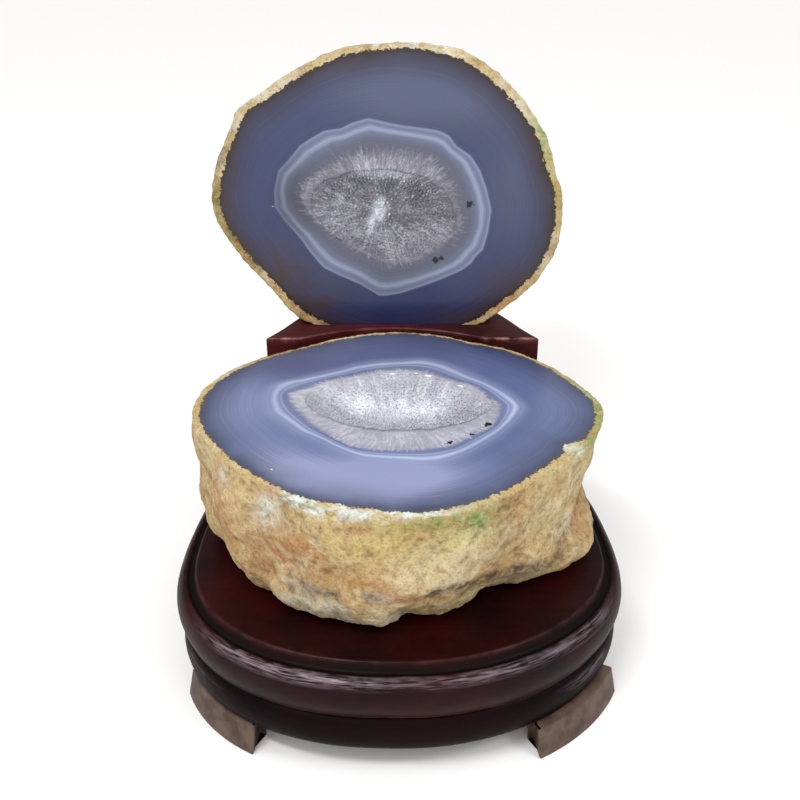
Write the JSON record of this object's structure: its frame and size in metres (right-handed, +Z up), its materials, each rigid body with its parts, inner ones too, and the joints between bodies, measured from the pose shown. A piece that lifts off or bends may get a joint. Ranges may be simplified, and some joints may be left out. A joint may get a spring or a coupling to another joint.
{
  "type": "agate geode bowl and lid on a wooden stand",
  "caption": "Blue-grey banded agate nodule sawn into a bowl and a lid with crystal-lined hollows, shown on a two-level dark red lacquered wooden stand.",
  "frame": {"origin": "middle of the object's box at the height of the surface that the stand's feet rest on", "axes": "+Z up, the front with the bowl half faces -Y, +X to the viewer's right"},
  "size_m": [0.17, 0.213, 0.2122],
  "materials": {
    "agate": "polished cut faces with blue-grey bands, rough tan rind",
    "crystals": "small white and grey quartz points, glassy",
    "lacquered_wood": "dark red gloss lacquer"
  },
  "bodies": {
    "root": {"lower_half": "agate", "upper_half": "agate", "lower_crystals": "crystals", "upper_crystals": "crystals", "base_board": "lacquered_wood", "under_board": "lacquered_wood", "back_block": "lacquered_wood", "front_left_foot": "lacquered_wood", "front_right_foot": "lacquered_wood", "rear_left_foot": "lacquered_wood", "rear_right_foot": "lacquered_wood"}
  },
  "joints": []
}
